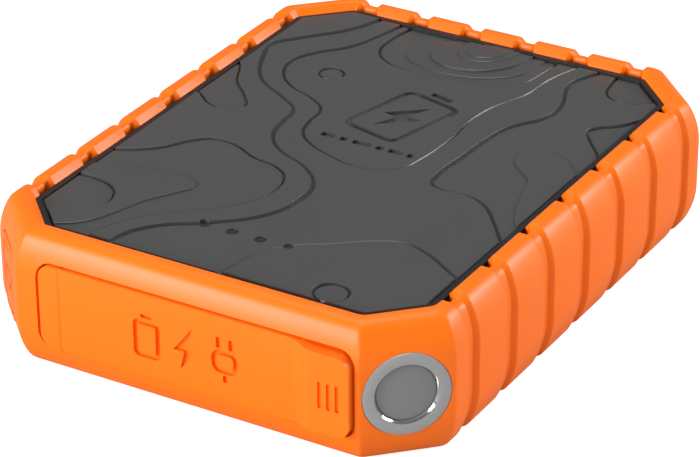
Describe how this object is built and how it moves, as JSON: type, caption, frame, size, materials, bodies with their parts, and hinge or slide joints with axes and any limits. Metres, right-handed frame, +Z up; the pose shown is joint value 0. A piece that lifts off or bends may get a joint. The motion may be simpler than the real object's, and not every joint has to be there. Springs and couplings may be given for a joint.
{
  "type": "power bank",
  "caption": "Rugged flat power bank with a grooved elastomer jacket, chamfered corners, a hinged port cover, a corner torch and a corner power button.",
  "frame": {"origin": "on the supporting surface, under the middle of the object", "axes": "+Z up through the top plate, +Y away from the port cover, +X towards the side next to the torch corner"},
  "size_m": [0.081, 0.1048, 0.0232],
  "materials": {
    "jacket_elastomer": "satin moulded elastomer",
    "flap_elastomer": "satin moulded elastomer",
    "button_elastomer": "satin moulded elastomer",
    "case_plastic": "fine moulded grain, near black",
    "plate_plastic": "semi-matte moulded plastic with raised contour terraces",
    "seal_rubber": "smooth silicone",
    "screw_steel": "zinc plated",
    "port_plastic": "fine moulded plastic",
    "port_steel": "bright nickel plated sheet",
    "contact_metal": "gold flashed",
    "board_laminate": "green solder mask",
    "torch_board_metal": "white coated aluminium",
    "chip_plastic": "moulded epoxy",
    "can_metal": "drawn aluminium",
    "led_package": "white package with a clear dome",
    "clear_plastic": "clear moulded acrylic",
    "lens_clear": "clear polycarbonate over a reflector",
    "mirror_coating": "vacuum metallised",
    "bezel_metal": "fine bead-blasted, satin",
    "plunger_plastic": "moulded nylon",
    "cell_pouch": "matte laminate pouch",
    "foam": "closed-cell foam",
    "lead_red": "silicone insulation",
    "lead_black": "silicone insulation"
  },
  "bodies": {
    "housing": {"battery_lead_minus": "lead_black", "battery_lead_plus": "lead_red", "boost_coil": "chip_plastic", "bottom_plate": "plate_plastic", "button_board": "board_laminate", "button_seal": "seal_rubber", "button_switch": "port_plastic", "capacitors": "can_metal", "case_bottom": "case_plastic", "case_screws": "screw_steel", "case_seal": "seal_rubber", "case_top": "case_plastic", "cell_spacer": "foam", "cell_tabs": "contact_metal", "charge_controller": "chip_plastic", "flap_anchor": "flap_elastomer", "indicator_led_1": "led_package", "indicator_led_2": "led_package", "indicator_led_3": "led_package", "indicator_led_4": "led_package", "jacket": "jacket_elastomer", "light_guide": "clear_plastic", "lower_cell": "cell_pouch", "lower_foam": "foam", "main_board": "board_laminate", "port_bezel": "port_plastic", "power_controller": "chip_plastic", "protection_board": "board_laminate", "temperature_sensor": "chip_plastic", "top_plate": "plate_plastic", "torch_bezel": "bezel_metal", "torch_board": "torch_board_metal", "torch_lamp": "led_package", "torch_lead_minus": "lead_black", "torch_lead_plus": "lead_red", "torch_lens": "lens_clear", "torch_reflector": "mirror_coating", "torch_seal": "seal_rubber", "upper_cell": "cell_pouch", "upper_foam": "foam", "usb_small_contacts": "contact_metal", "usb_small_shell": "port_steel", "usb_small_tongue": "port_plastic", "usb_wide_contacts_1": "contact_metal", "usb_wide_contacts_2": "contact_metal", "usb_wide_shell_1": "port_steel", "usb_wide_shell_2": "port_steel", "usb_wide_tongue_1": "port_plastic", "usb_wide_tongue_2": "port_plastic"},
    "flap": {"port_flap": "flap_elastomer", "flap_seal": "seal_rubber"},
    "button": {"power_button": "button_elastomer"},
    "plunger": {"switch_plunger": "plunger_plastic"}
  },
  "joints": [
    {"name": "flap_hinge", "type": "hinge", "parent": "housing", "child": "flap", "pos_m": [-0.022, -0.05175, 0.0116], "axis": [0, 0, -1], "range_deg": [0, 150], "stiffness_Nm_per_rad": 0.0006},
    {"name": "button_press", "type": "slide", "parent": "housing", "child": "button", "axis": [0.7071, 0.7071, 0], "range_m": [0, 0.0004], "stiffness_N_per_m": 1500, "springref_m": -0.0004},
    {"name": "plunger_press", "type": "slide", "parent": "housing", "child": "plunger", "axis": [0.7071, 0.7071, 0], "range_m": [0, 0.0004]}
  ],
  "couplings": [
    {"joint": "plunger_press", "follows": "button_press", "ratio": 1}
  ]
}
